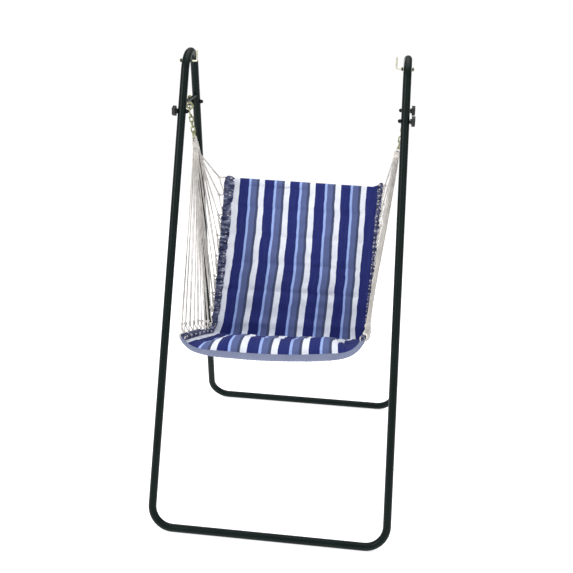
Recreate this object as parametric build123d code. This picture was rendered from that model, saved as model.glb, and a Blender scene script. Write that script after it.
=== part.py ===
from build123d import *
import math
import os

# ---------------------------------------------------------------------------
# Hanging hammock chair on a knock-down tubular stand.
# Frame: origin on the floor under the middle of the stand, +Z up,
# +X across the chair, -Y towards the side the sitter faces. Millimetres.
# ---------------------------------------------------------------------------

# stand
H_TOTAL = 1830.0          # floor to the top of the hairpins
TUBE_R = 16.0             # 32 mm powder-coated steel tube
TUBE_WALL = 1.5
BASE_X = 470.0            # half width at the floor bars (tube centres)
BASE_Y = 601.0            # half depth at the floor bars (tube centres)
JOINT_Z = 1599.0          # height of the clamping bolts
JOINT_Y = 128.0           # half depth at the clamping bolts
SIDE_LEAN = 0.0236        # inward lean of each side, mm per mm of height
BASE_BEND_R = 85.0        # centre-line radius of the floor bends
SOCKET_BELOW = 34.0       # hairpin strand reaches this far below its bolt
SWAGE_LEN = 78.0          # reduced end of each leg inside the hairpin strand
FIT_GAP = 0.30            # radial gap between swaged end and strand
CROSS_Z = 1627.0          # welded crossbar of each hairpin
CROSS_R = 8.0

# fasteners
BOLT_R = 4.0
BOLT_HOLE_R = 4.3
WASHER_R = 9.0
WASHER_T = 1.6
KNOB_R = 21.0
KNOB_T = 19.0
KNOB_BORE_R = 4.05

# accessory hooks near the tops of the hairpins
HOOK_Y = -64.0
HOOK_R = 3.5
HOOK_REACH = 43.0         # tube centre to the upright tip
HOOK_RISE = 40.0

# hanger eye, S-hook, chain, ring
EYE_R = 12.0
EYE_WIRE = 4.0
S_WIRE = 3.0
S_BEND = 8.0              # centre-line radius of the S-hook bends
S_LEN = 26.0              # between the two bend centres
LINK_WIRE = 2.75
LINK_W = 7.25             # centre-line half width of a link
LINK_STR = 12.5           # straight length of a link
N_LINKS = 3
RING_R = 15.0
RING_WIRE = 3.5
APEX_X = 413.0            # where the cords gather
COLLAR_R = 14.0
COLLAR_H = 22.0

# cords
CORD_D = 5.0
N_CORDS = 16              # per side
CORD_PITCH = 6.0

# sling: centre profile (Y, Z) of the sitting surface and its shape tables
TOP = (184.0, 1265.0)
CREASE = (54.0, 595.0)
FRONT = (-379.0, 700.0)
CREASE_R = 55.0
PAD_T = 28.0
CREST = 52.0               # how far the seat pad swells near its front edge, where it rolls over to the binding
CREST_S = (0.60, 0.885, 0.92, 0.974)       # swelling starts, is full, begins to roll over, ends
CREST_L = (0.35, 0.92)     # across: full up to the first, none from the second, on the left
CREST_R = (0.55, 0.94)     # the same on the right
HALF_W = [(0, 340), (0.08, 344), (0.45, 362), (0.62, 372), (1, 384)]
NARROW_L = [(0, 0.0), (0.3, 0.02), (0.6, 0.06), (0.8, 0.08), (1, 0.07)]
NARROW_R = [(0, 0.0), (0.2, 0.06), (0.5, 0.12), (0.62, 0.12), (1, 0.07)]
EDGE_L = [(0, -4, 6), (0.1, -8, 4), (0.35, -22, 0), (0.5, -40, 8), (0.58, -48, 36),
          (0.66, -38, 62), (0.78, -10, 80), (1, 6, 98)]
EDGE_R = [(0, -6, 10), (0.1, -16, 8), (0.35, -50, 0), (0.5, -66, 8), (0.58, -64, 36),
          (0.66, -44, 62), (0.78, -10, 80), (1, 6, 98)]
SHIFT_X = [(0, 13), (0.3, 8), (0.58, -2), (1, -38)]
ROLL_Z = [(0, -4), (0.4, 0), (0.58, 10), (1, 16)]
ROD_R = 8.0
ROD_HALF = 300.0
SLEEVE_R = 12.5

os.makedirs("parts", exist_ok=True)
nodes = {}


def unit(v):
    n = math.sqrt(sum(c * c for c in v))
    return tuple(c / n for c in v)


def add(a, b, k=1.0):
    return tuple(p + q * k for p, q in zip(a, b))


def sub(a, b):
    return tuple(p - q for p, q in zip(a, b))


def cross(a, b):
    return (a[1] * b[2] - a[2] * b[1], a[2] * b[0] - a[0] * b[2], a[0] * b[1] - a[1] * b[0])


def side_x(z):
    return BASE_X - (z - TUBE_R) * SIDE_LEAN


def rod(a, b, r):
    d = sub(b, a)
    length = math.sqrt(sum(c * c for c in d))
    pl = Plane(origin=a, z_dir=unit(d))
    return extrude(pl * Circle(r), length)


def pipe(path, r_out, r_in=0.0):
    pl = Plane(origin=path @ 0, z_dir=path % 0)
    sk = pl * Circle(r_out)
    if r_in:
        sk = sk - pl * Circle(r_in)
    return sweep(sk, path=path)


def ring(centre, axis, radius, wire):
    return Plane(origin=centre, z_dir=axis) * Torus(radius, wire)


# ------------------------------------------------------------------ stand ---
slope_y = (BASE_Y - JOINT_Y) / (JOINT_Z - TUBE_R)


def leg_point(sx, sy, z):
    return (sx * side_x(z), sy * (BASE_Y - (z - TUBE_R) * slope_y), z)


def joint_point(sx, sy):
    return leg_point(sx, sy, JOINT_Z)


def leg_dir(sx, sy):
    return unit(sub(leg_point(sx, sy, JOINT_Z), leg_point(sx, sy, TUBE_R)))


def base_frame(sy):
    tops = [add(joint_point(sx, sy), leg_dir(sx, sy), -SOCKET_BELOW) for sx in (-1, 1)]
    path = FilletPolyline(tops[0], leg_point(-1, sy, TUBE_R), leg_point(1, sy, TUBE_R), tops[1],
                          radius=BASE_BEND_R)
    body = pipe(path, TUBE_R, TUBE_R - TUBE_WALL)
    ro = TUBE_R - TUBE_WALL - FIT_GAP
    ri = ro - TUBE_WALL
    for sx, top in zip((-1, 1), tops):
        d = leg_dir(sx, sy)
        pl = Plane(origin=add(top, d, -4.0), z_dir=d)
        shoulder = extrude(pl * (Circle(TUBE_R) - Circle(ri)), 3.6)
        pl2 = Plane(origin=add(top, d, -2.0), z_dir=d)
        swage = extrude(pl2 * (Circle(ro) - Circle(ri)), SWAGE_LEN + 2.0)
        body = body + shoulder + swage
    # 0.4 mm end gap between the leg shoulder and the strand end
    for sx, top in zip((-1, 1), tops):
        d = leg_dir(sx, sy)
        pl = Plane(origin=add(top, d, -0.4), z_dir=d)
        body = body - extrude(pl * (Circle(TUBE_R + 1) - Circle(ro)), 1.0)
    for sx in (-1, 1):
        j = joint_point(sx, sy)
        body = body - rod((j[0] - 30, j[1], j[2]), (j[0] + 30, j[1], j[2]), BOLT_HOLE_R)
    return body


nodes["front_base_frame"] = base_frame(-1)
nodes["rear_base_frame"] = base_frame(1)

# hairpin: two strands in line with the legs, joined by one tangent arc
v_z = JOINT_Z + JOINT_Y / slope_y
half = math.atan(slope_y / math.sqrt(1 + SIDE_LEAN ** 2))
apex_cz = H_TOTAL - TUBE_R
drop = (v_z - apex_cz) * math.sqrt(1 + SIDE_LEAN ** 2)
PIN_BEND_R = drop / (1 / math.sin(half) - 1)
print("hairpin bend radius", round(PIN_BEND_R, 1))


def arc_point_z(y):
    cz = apex_cz - PIN_BEND_R
    return cz + math.sqrt(PIN_BEND_R ** 2 - y ** 2)


hook_z = arc_point_z(HOOK_Y)


def hairpin(sx):
    a = add(joint_point(sx, -1), leg_dir(sx, -1), -SOCKET_BELOW)
    b = add(joint_point(sx, 1), leg_dir(sx, 1), -SOCKET_BELOW)
    v = (sx * side_x(v_z), 0.0, v_z)
    path = FilletPolyline(a, v, b, radius=PIN_BEND_R)
    body = pipe(path, TUBE_R, TUBE_R - TUBE_WALL)
    for sy in (-1, 1):
        j = joint_point(sx, sy)
        body = body - rod((j[0] - 30, j[1], j[2]), (j[0] + 30, j[1], j[2]), BOLT_HOLE_R)
    hx = sx * side_x(hook_z)
    body = body - rod((hx - 30, HOOK_Y, hook_z), (hx + 30, HOOK_Y, hook_z), HOOK_R + 0.3)
    return body


def crossbar(sx):
    y = JOINT_Y - (CROSS_Z - JOINT_Z) * slope_y
    x = sx * side_x(CROSS_Z)
    a, b = (x, -y, CROSS_Z), (x, y, CROSS_Z)
    body = rod(a, b, CROSS_R) - rod(a, b, CROSS_R - TUBE_WALL)
    for sy in (-1, 1):
        j = joint_point(sx, sy)
        d = leg_dir(sx, sy)
        body = body - rod(add(j, d, -80), add(j, d, 120), TUBE_R)
    body = body - rod((x, 0, CROSS_Z - 20), (x, 0, CROSS_Z + 20), BOLT_R + 0.2)
    solids = sorted(body.solids(), key=lambda s: -s.volume)
    return solids[0]


nodes["left_top_hairpin"] = hairpin(-1)
nodes["right_top_hairpin"] = hairpin(1)
nodes["left_crossbar"] = crossbar(-1)
nodes["right_crossbar"] = crossbar(1)

# ------------------------------------------------------- clamping hardware ---
OFF = TUBE_R + 0.45       # tube centre to the inner face of a washer


def bolt(sx, sy):
    j = joint_point(sx, sy)
    out = sx
    x_in = j[0] - out * (OFF + WASHER_T + 0.1)
    x_out = j[0] + out * (OFF + WASHER_T + 0.4 + KNOB_T - 4.0)
    shank = rod((x_in, j[1], j[2]), (x_out, j[1], j[2]), BOLT_R)
    head = rod((x_in, j[1], j[2]), (x_in - out * 3.0, j[1], j[2]), 7.5)
    dome = Pos(x_in - out * 3.0, j[1], j[2]) * Sphere(7.5)
    keep = rod((x_in - out * 2.9, j[1], j[2]), (x_in - out * 12.0, j[1], j[2]), 9.0)
    dome = Pos(0, 0, 0) * (dome & keep)
    return shank + head + dome


def washer(sx, sy, side):
    j = joint_point(sx, sy)
    x0 = j[0] + side * OFF
    x1 = x0 + side * WASHER_T
    return rod((x0, j[1], j[2]), (x1, j[1], j[2]), WASHER_R) - rod((x0 - 5, j[1], j[2]), (x0 + 5, j[1], j[2]),
                                                                   BOLT_R + 0.2)


def knob(sx, sy):
    j = joint_point(sx, sy)
    out = sx
    x0 = j[0] + out * (OFF + WASHER_T + 0.4)
    pl = Plane(origin=(x0, j[1], j[2]), x_dir=(0, 1, 0), z_dir=(out, 0, 0))
    hub = extrude(pl * Circle(10.5), 7.0)
    sk = Circle(KNOB_R - 3.0)
    for k in range(5):
        sk = sk + Rot(0, 0, 72 * k) * Pos(KNOB_R - 6.5, 0) * Circle(6.5)
    for k in range(5):
        sk = sk - Rot(0, 0, 72 * k + 36) * Pos(KNOB_R + 1.5, 0) * Circle(6.0)
    grip = extrude(Plane(origin=(x0 + out * 5.0, j[1], j[2]), x_dir=(0, 1, 0), z_dir=(out, 0, 0)) * sk,
                   KNOB_T - 5.0)
    outer_face = grip.faces().sort_by(Axis.X)[-1 if out > 0 else 0]
    try:
        grip = fillet(outer_face.edges(), 2.5)
    except Exception:
        grip = chamfer(outer_face.edges(), 1.5)
    body = hub + grip
    bore = rod((x0 - out * 1, j[1], j[2]), (x0 + out * (KNOB_T - 3.0), j[1], j[2]), KNOB_BORE_R)
    return body - bore


corner = {(-1, -1): "left_front", (1, -1): "right_front", (-1, 1): "left_rear", (1, 1): "right_rear"}
nodes["joint_bolts"] = Compound(children=[bolt(sx, sy) for sx, sy in corner])
nodes["joint_washers"] = Compound(children=[washer(sx, sy, s) for sx, sy in corner for s in (-1, 1)])
for key, name in corner.items():
    nodes[name + "_knob"] = knob(*key)


def hex_nut(centre, axis, flat, thick, hole):
    pl = Plane(origin=centre, z_dir=axis)
    return extrude(pl * (RegularPolygon(flat / 2 / math.cos(math.pi / 6), 6) - Circle(hole)), thick)


# ------------------------------------------------------------- top hooks ---
def top_hook(sx):
    hx = side_x(hook_z)
    tip = hx - HOOK_REACH
    path = FilletPolyline((sx * (hx + TUBE_R + 12), HOOK_Y, hook_z), (sx * tip, HOOK_Y, hook_z),
                          (sx * tip, HOOK_Y, hook_z + HOOK_RISE), radius=7.0)
    body = pipe(path, HOOK_R)
    end = Pos(sx * tip, HOOK_Y, hook_z + HOOK_RISE) * Sphere(HOOK_R)
    return body + end


def hook_nuts(sx):
    hx = side_x(hook_z)
    out = hex_nut((sx * (hx + TUBE_R + 1.2), HOOK_Y, hook_z), (sx, 0, 0), 12.0, 6.0, HOOK_R + 0.05)
    inn = hex_nut((sx * (hx - TUBE_R - 1.2), HOOK_Y, hook_z), (-sx, 0, 0), 12.0, 6.0, HOOK_R + 0.05)
    return [out, inn]


nodes["left_top_hook"] = top_hook(-1)
nodes["right_top_hook"] = top_hook(1)
nodes["top_hook_nuts"] = Compound(children=hook_nuts(-1) + hook_nuts(1))

# --------------------------------------------------- hanger, chain and ring ---
eye_cx = side_x(CROSS_Z)
eye_cz = CROSS_Z - CROSS_R - 3.0 - EYE_WIRE - EYE_R
PIVOT = (eye_cx, 0.0, eye_cz - EYE_R)      # swing axis: centre of the eye's lower wire


def hanger_eye(sx):
    x = sx * eye_cx
    torus = ring((x, 0, eye_cz), (0, 1, 0), EYE_R, EYE_WIRE)
    shank = rod((x, 0, eye_cz + EYE_R), (x, 0, CROSS_Z + CROSS_R + 9.0), BOLT_R)
    flange = rod((x, 0, CROSS_Z - CROSS_R - 2.6), (x, 0, CROSS_Z - CROSS_R - 0.4), 7.0)
    return torus + shank + flange


nodes["left_hanger_eye"] = hanger_eye(-1)
nodes["right_hanger_eye"] = hanger_eye(1)
nodes["hanger_eye_nuts"] = Compound(children=[
    hex_nut((sx * eye_cx, 0, CROSS_Z + CROSS_R + 0.3), (0, 0, 1), 13.0, 6.0, BOLT_R + 0.05) for sx in (-1, 1)])

# the hanging line leans inwards from the eye to the gathering ring
link_len = LINK_STR + 2 * LINK_W
link_gap = 0.35
s_top = PIVOT[2] + EYE_WIRE + link_gap + S_WIRE - S_BEND      # upper bend centre, before leaning
s_bot = s_top - S_LEN
line = []
z = s_bot - S_BEND + S_WIRE + link_gap + LINK_WIRE            # top wire centre of the first link
link_z = []
for k in range(N_LINKS):
    link_z.append((z, z - link_len))
    z = z - link_len + 2 * LINK_WIRE + link_gap
z_last = link_z[-1][1]                                        # bottom wire centre of the last link
ring_top = z_last + LINK_WIRE + link_gap + 0.3 + RING_WIRE
ring_cz = ring_top - RING_R
LEAN = math.degrees(math.atan((PIVOT[0] - APEX_X) / (PIVOT[2] - (ring_cz - RING_R))))
print("lean of the hanging line, degrees", round(LEAN, 2))


def leaned(shape, sx):
    # built on X = 0, leaned about the swing pivot, then moved to its side
    s = Pos(0, 0, -PIVOT[2]) * shape
    s = Rot(0, sx * LEAN, 0) * s
    return Pos(sx * PIVOT[0], 0, PIVOT[2]) * s


def leaned_point(p, sx):
    a = math.radians(sx * LEAN)
    x, y, zz = p[0], p[1], p[2] - PIVOT[2]
    return (x * math.cos(a) + zz * math.sin(a) + sx * PIVOT[0], y, -x * math.sin(a) + zz * math.cos(a) + PIVOT[2])


def s_hook():
    # upper bend opens to +Y, lower bend opens to -Y, both in the YZ plane
    r = S_BEND
    e = 0.8 * math.pi
    up = ThreePointArc((0, r, s_top), (0, 0, s_top + r), (0, -r, s_top))
    lo = ThreePointArc((0, r, s_bot), (0, 0, s_bot - r), (0, -r, s_bot))
    # the shank crosses from the rear of the upper bend to the front of the lower bend
    up_end = Line((0, r, s_top), (0, r, s_top - 5.0))
    shank = Line((0, -r, s_top), (0, -r, s_bot))
    lo_end = Line((0, r, s_bot), (0, r, s_bot + 5.0))
    path = Wire([Line((0, r, s_top - 5.0), (0, r, s_top)), up, shank, lo, lo_end])
    return pipe(path, S_WIRE)


def link(z1, z0, turned):
    w = LINK_W
    zc1, zc0 = z1 - w, z0 + w
    if turned:
        pts = lambda a, zz: (0, a, zz)
        nrm = (1, 0, 0)
    else:
        pts = lambda a, zz: (a, 0, zz)
        nrm = (0, 1, 0)
    path = Wire([Line(pts(w, zc0), pts(w, zc1)),
                 ThreePointArc(pts(w, zc1), pts(0, z1), pts(-w, zc1)),
                 Line(pts(-w, zc1), pts(-w, zc0)),
                 ThreePointArc(pts(-w, zc0), pts(0, z0), pts(w, zc0))])
    return pipe(path, LINK_WIRE)


# The S-hook bend wraps the eye's wire, which runs along X. The first link hangs in the lower
# bend with its top wire along X, the next is turned, and the last again has its wire along X.
s_raw = s_hook()
links_raw = [link(a, b, k % 2 == 1) for k, (a, b) in enumerate(link_z)]
ring_raw = ring((0, 0, ring_cz), (1, 0, 0), RING_R, RING_WIRE)
# cord hitch: a U of cord lying over the ring's lower wire, and the bound collar under it
hz = ring_cz - RING_R
hitch_r = RING_WIRE + 0.9 + 2.0
collar_top = hz - 12.0
hitch_raw = pipe(Wire([Line((-hitch_r, 0, collar_top + 0.2), (-hitch_r, 0, hz)),
                       ThreePointArc((-hitch_r, 0, hz), (0, 0, hz + hitch_r), (hitch_r, 0, hz)),
                       Line((hitch_r, 0, hz), (hitch_r, 0, collar_top + 0.2))]), 2.0)
collar_raw = rod((0, 0, collar_top), (0, 0, collar_top - COLLAR_H), COLLAR_R)
collar_raw = fillet(collar_raw.edges().filter_by(GeomType.CIRCLE), 3.0)
ROCK = {}
for sx, side in ((-1, "left"), (1, "right")):
    nodes[side + "_s_hook"] = leaned(s_raw, sx)
    nodes[side + "_chain_links"] = Compound(children=[leaned(q, sx) for q in links_raw])
    nodes[side + "_gathering_ring"] = leaned(ring_raw, sx)
    nodes[side + "_ring_hitch"] = leaned(hitch_raw, sx)
    nodes[side + "_cord_collar"] = leaned(collar_raw, sx)
    ROCK[side] = leaned_point((0, 0, z_last), sx)
print("swing pivot", PIVOT, "rock pivot", ROCK)


# ------------------------------------------------------------------ sling ---
def lerp(tab, s, col=1):
    for a, b in zip(tab[:-1], tab[1:]):
        if s <= b[0]:
            k = (s - a[0]) / (b[0] - a[0])
            return a[col] + (b[col] - a[col]) * k
    return tab[-1][col]


def profile_data():
    t, c, f = TOP, CREASE, FRONT
    a = unit((t[0] - c[0], t[1] - c[1], 0))[:2]
    b = unit((f[0] - c[0], f[1] - c[1], 0))[:2]
    ang = math.acos(a[0] * b[0] + a[1] * b[1])
    tt = CREASE_R / math.tan(ang / 2)
    A = (c[0] + a[0] * tt, c[1] + a[1] * tt)
    B = (c[0] + b[0] * tt, c[1] + b[1] * tt)
    bis = unit((a[0] + b[0], a[1] + b[1], 0))[:2]
    O = (c[0] + bis[0] * CREASE_R / math.sin(ang / 2), c[1] + bis[1] * CREASE_R / math.sin(ang / 2))
    return t, A, B, f, O, math.pi - ang


T_, A_, B_, F_, O_, TH_ = profile_data()
L1 = math.dist(T_, A_)
L2 = CREASE_R * TH_
L3 = math.dist(B_, F_)
L_ALL = L1 + L2 + L3


def centre(sf):
    s = sf * L_ALL
    if s < L1:
        return tuple(p + (q - p) * s / L1 for p, q in zip(T_, A_))
    if s < L1 + L2:
        k = (s - L1) / L2
        return tuple(o + (math.sin((1 - k) * TH_) * (p - o) + math.sin(k * TH_) * (q - o)) / math.sin(TH_)
                     for o, p, q in zip(O_, A_, B_))
    return tuple(p + (q - p) * (s - L1 - L2) / L3 for p, q in zip(B_, F_))


def rise(a):
    return 0.3 * a * a + 0.7 * a ** 10


def surf(u, s):
    # u from -1 (left edge) to 1 (right edge), s from 0 (top of back) to 1 (front of seat)
    c = centre(s)
    a = abs(u)
    k = lerp(NARROW_L if u < 0 else NARROW_R, s)
    x = math.copysign(1, u) * lerp(HALF_W, s) * (a - k * a ** 5) + lerp(SHIFT_X, s)
    e = EDGE_L if u < 0 else EDGE_R
    g = rise(a)
    return (x, c[0] + g * lerp(e, s, 1), c[1] + g * lerp(e, s, 2) + u * lerp(ROLL_Z, s))


def surf_n(u, s):
    # unit normal pointing away from the sitter
    h = 0.01
    u0, u1 = max(-1, u - h), min(1, u + h)
    s0, s1 = max(0, s - h), min(1, s + h)
    du = sub(surf(u1, s), surf(u0, s))
    ds = sub(surf(u, s1), surf(u, s0))
    n = unit(cross(du, ds))
    if n[2] > 0 and s > 0.55 or n[1] < 0 and s <= 0.55:
        n = (-n[0], -n[1], -n[2])
    return n


def crest(u, s):
    # extra fullness of the seat pad towards its front edge
    s0, s1, s2, s3 = CREST_S
    if s <= s0 or s >= s3:
        return 0.0
    if s < s1:
        k = (s - s0) / (s1 - s0)
        f = k * k * (3 - 2 * k)
    elif s < s2:
        f = 1.0
    else:
        f = math.sqrt(1 - ((s - s2) / (s3 - s2)) ** 2)
    a0, a1 = CREST_L if u < 0 else CREST_R
    k = min(1.0, max(0.0, (abs(u) - a0) / (a1 - a0)))
    return CREST * f * math.cos(k * math.pi / 2) ** 2


def tri(a, b, c):
    return Face(Wire.make_polygon([Vector(*a), Vector(*b), Vector(*c)], close=True))


def patch_solid(us, ss, near, far, full=0.0):
    # closed solid between two offsets of the sling surface, distances away from the sitter
    top = [[add(surf(u, s), surf_n(u, s), near - full * crest(u, s)) for u in us] for s in ss]
    bot = [[add(surf(u, s), surf_n(u, s), far - full * crest(u, s)) for u in us] for s in ss]
    faces = []

    def quad(a, b, c, d):
        faces.append(tri(a, b, c))
        faces.append(tri(a, c, d))

    n, m = len(ss), len(us)
    for i in range(n - 1):
        for j in range(m - 1):
            quad(top[i][j], top[i + 1][j], top[i + 1][j + 1], top[i][j + 1])
            quad(bot[i][j], bot[i][j + 1], bot[i + 1][j + 1], bot[i + 1][j])
    for i in range(n - 1):
        quad(top[i][0], bot[i][0], bot[i + 1][0], top[i + 1][0])
        quad(top[i][-1], top[i + 1][-1], bot[i + 1][-1], bot[i][-1])
    for j in range(m - 1):
        quad(top[0][j], top[0][j + 1], bot[0][j + 1], bot[0][j])
        quad(top[-1][j], bot[-1][j], bot[-1][j + 1], top[-1][j + 1])
    sol = Solid(Shell(faces))
    if sol.volume < 0:
        sol = Solid(Shell([-f for f in faces]))
    return sol


S_TOP = 30.0 / L_ALL
S_PAD = 0.972
U_PAD = 0.945
pad_s = [S_TOP, 0.12, 0.24, 0.36, 0.46, 0.53, 0.567, 0.605, 0.645, 0.70, 0.76, 0.82, 0.87, 0.92, 0.95, S_PAD]
pad_u = [-U_PAD, -0.86, -0.68, -0.38, 0.0, 0.38, 0.68, 0.86, U_PAD]
nodes["padded_sling"] = patch_solid(pad_u, pad_s, 0.0, PAD_T, 1.0)
nodes["front_binding"] = patch_solid(pad_u, [S_PAD + 0.0004, 0.986, 1.0], 0.0, PAD_T)
edge_s = pad_s + [1.0]
edge_u = [U_PAD + 0.008, 0.975, 1.0]
nodes["right_side_border"] = patch_solid(edge_u, edge_s, 6.0, 20.0)
nodes["left_side_border"] = patch_solid([-q for q in reversed(edge_u)], edge_s, 6.0, 20.0)

# hem sleeve with the spreader rod through it, along the top of the back
back_dir = unit((0.0, T_[0] - A_[0], T_[1] - A_[1]))
back_n = (0.0, math.cos(math.atan2(T_[0] - A_[0], T_[1] - A_[1])), -math.sin(math.atan2(T_[0] - A_[0], T_[1] - A_[1])))
rod_c = add(add((lerp(SHIFT_X, 0), T_[0], T_[1]), back_dir, -SLEEVE_R), back_n, SLEEVE_R + 0.5)
tilt = unit((1.0, 0.0, -4.0 / 340.0))


def on_rod(x):
    return add(rod_c, tilt, x)


sleeve = rod(on_rod(-ROD_HALF + 6), on_rod(ROD_HALF - 6), SLEEVE_R) - rod(on_rod(-ROD_HALF - 2), on_rod(ROD_HALF + 2),
                                                                           ROD_R + 0.4)
nodes["top_hem_sleeve"] = sleeve
nodes["spreader_rod"] = rod(on_rod(-ROD_HALF), on_rod(ROD_HALF), ROD_R)


def cap(sx):
    outer = rod(on_rod(sx * (ROD_HALF - 5)), on_rod(sx * (ROD_HALF + 4)), ROD_R + 2.6)
    inner = rod(on_rod(sx * (ROD_HALF - 6)), on_rod(sx * (ROD_HALF + 0.3)), ROD_R + 0.15)
    return outer - inner


nodes["spreader_end_caps"] = Compound(children=[cap(-1), cap(1)])

# ------------------------------------------------------------------ cords ---
cord_rows = 4
cord_s = [0.03, 0.10, 0.18, 0.26, 0.34, 0.42, 0.49, 0.56, 0.625, 0.68, 0.735, 0.79, 0.84, 0.89, 0.94, 0.985]


def cord_ends(sx):
    out = []
    base = collar_top - COLLAR_H
    order = list(reversed(cord_s))          # front of the seat first
    for i, s in enumerate(order):
        row, colm = divmod(i, 4)
        y = (row - 1.5) * CORD_PITCH
        x = (colm - 1.5) * CORD_PITCH * (1 if row % 2 == 0 else -1)
        start = leaned_point((x, y, base - 2.5), sx)
        edge = surf(sx, s)
        n = surf_n(sx, s)
        target = add(edge, n, 13.0)
        d = unit(sub(start, target))
        target = add(target, d, 12.0)
        out.append((start, target))
    return out


CORDS = {}
for sx, side in ((-1, "left"), (1, "right")):
    ends = cord_ends(sx)
    CORDS[side] = ends
    nodes[side + "_suspension_cords"] = Compound(children=[rod(a, b, CORD_D / 2) for a, b in ends])
    # least distance between neighbouring cords
    best = 1e9
    for i in range(len(ends)):
        for j in range(i + 1, len(ends)):
            for k in range(0, 41):
                p = add(ends[i][0], sub(ends[i][1], ends[i][0]), k / 40.0)
                q0, q1 = ends[j]
                w = sub(q1, q0)
                t = max(0, min(1, sum(a * b for a, b in zip(sub(p, q0), w)) / sum(a * a for a in w)))
                best = min(best, math.dist(p, add(q0, w, t)))
    print(side, "closest cord centre lines", round(best, 2))
    for a, b in ends:
        print("   cord", [round(c, 1) for c in a], [round(c, 1) for c in b], "len", round(math.dist(a, b), 1))

tot = 0.0
cy = cz = cx = 0.0
for name in ("padded_sling", "front_binding", "left_side_border", "right_side_border", "top_hem_sleeve", "spreader_rod"):
    s = nodes[name]
    v = s.volume
    c = s.center(CenterOf.MASS)
    tot += v
    cx += v * c.X
    cy += v * c.Y
    cz += v * c.Z
print("chair centre of volume", round(cx / tot, 1), round(cy / tot, 1), round(cz / tot, 1))

for name, shape in nodes.items():
    export_step(shape, "parts/" + name + ".step")
print(len(nodes), "nodes")
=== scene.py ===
import bpy, bmesh, math, random
import numpy as np
from mathutils import Matrix, Vector


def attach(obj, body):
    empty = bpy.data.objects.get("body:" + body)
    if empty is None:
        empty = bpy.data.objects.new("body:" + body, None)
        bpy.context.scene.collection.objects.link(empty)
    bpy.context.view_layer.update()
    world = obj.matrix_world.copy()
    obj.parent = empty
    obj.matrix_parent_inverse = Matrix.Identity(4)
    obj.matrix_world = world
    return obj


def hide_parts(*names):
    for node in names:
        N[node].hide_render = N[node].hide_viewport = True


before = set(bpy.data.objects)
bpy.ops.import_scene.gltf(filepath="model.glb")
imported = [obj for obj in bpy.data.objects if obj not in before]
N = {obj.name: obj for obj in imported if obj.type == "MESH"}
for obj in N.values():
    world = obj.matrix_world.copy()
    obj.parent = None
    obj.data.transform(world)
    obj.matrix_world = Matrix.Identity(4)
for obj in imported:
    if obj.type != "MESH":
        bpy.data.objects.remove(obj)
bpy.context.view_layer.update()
random.seed(7)
rng = np.random.default_rng(7)

# ------------------------------------------------------------------ camera ---
scn = bpy.context.scene
cam_d = bpy.data.cameras.new("camera")
cam = bpy.data.objects.new("camera", cam_d)
scn.collection.objects.link(cam)
PITCH, YAW, ROLL = math.radians(20.07), math.radians(7.01), math.radians(1.45)
fwd = Vector((-math.sin(YAW) * math.cos(PITCH), math.cos(YAW) * math.cos(PITCH), -math.sin(PITCH)))
right = Vector((math.cos(YAW), math.sin(YAW), 0))
up = right.cross(fwd)
r2 = math.cos(ROLL) * right + math.sin(ROLL) * up
u2 = -math.sin(ROLL) * right + math.cos(ROLL) * up
rot = Matrix((r2, u2, -fwd)).transposed()
cam.matrix_world = Matrix.Translation(Vector((0.4286, -3.6529, 2.1989))) @ rot.to_4x4()
cam_d.sensor_width = 36.0
cam_d.lens = 57.87
cam_d.clip_end = 100
scn.camera = cam

# ------------------------------------------------------------- sling shape ---
# The same shape tables as the part's sling, in millimetres: u runs from the left edge (-1) to
# the right edge (1), s from the top of the back (0) to the front of the seat (1).
TOP, CREASE, FRONT, CREASE_R, PAD_T = (184.0, 1265.0), (54.0, 595.0), (-379.0, 700.0), 55.0, 28.0
HALF_W = np.array([(0, 340), (0.08, 344), (0.45, 362), (0.62, 372), (1, 384)], float)
NARROW_L = np.array([(0, 0.0), (0.3, 0.02), (0.6, 0.06), (0.8, 0.08), (1, 0.07)], float)
NARROW_R = np.array([(0, 0.0), (0.2, 0.06), (0.5, 0.12), (0.62, 0.12), (1, 0.07)], float)
EDGE_L = np.array([(0, -4, 6), (0.1, -8, 4), (0.35, -22, 0), (0.5, -40, 8), (0.58, -48, 36), (0.66, -38, 62),
                   (0.78, -10, 80), (1, 6, 98)], float)
EDGE_R = np.array([(0, -6, 10), (0.1, -16, 8), (0.35, -50, 0), (0.5, -66, 8), (0.58, -64, 36), (0.66, -44, 62),
                   (0.78, -10, 80), (1, 6, 98)], float)
SHIFT_X = np.array([(0, 13), (0.3, 8), (0.58, -2), (1, -38)], float)
ROLL_Z = np.array([(0, -4), (0.4, 0), (0.58, 10), (1, 16)], float)


def smooth_tab(tab, s, col=1, w=0.035):
    # the table, softened over a short distance so that no crease shows at its points
    out = 0.0
    ks = (-1.0, -0.6, -0.2, 0.2, 0.6, 1.0)
    for k in ks:
        out = out + np.interp(np.clip(s + k * w, 0, 1), tab[:, 0], tab[:, col])
    return out / len(ks)


def prof():
    t, c, f = np.array(TOP), np.array(CREASE), np.array(FRONT)
    a = (t - c) / np.linalg.norm(t - c)
    b = (f - c) / np.linalg.norm(f - c)
    ang = math.acos(a @ b)
    tt = CREASE_R / math.tan(ang / 2)
    A, B = c + a * tt, c + b * tt
    bis = (a + b) / np.linalg.norm(a + b)
    O = c + bis * CREASE_R / math.sin(ang / 2)
    return t, A, B, f, O, math.pi - ang


T_, A_, B_, F_, O_, TH_ = prof()
L1, L2, L3 = np.linalg.norm(T_ - A_), CREASE_R * TH_, np.linalg.norm(B_ - F_)
L_ALL = L1 + L2 + L3


def centre(s):
    s = np.asarray(s, float) * L_ALL
    s = s[..., None]
    p1 = T_ + (A_ - T_) * s / L1
    k = (s - L1) / L2
    p2 = O_ + (np.sin((1 - k) * TH_) * (A_ - O_) + np.sin(k * TH_) * (B_ - O_)) / math.sin(TH_)
    p3 = B_ + (F_ - B_) * (s - L1 - L2) / L3
    return np.where(s < L1, p1, np.where(s < L1 + L2, p2, p3))


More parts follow.
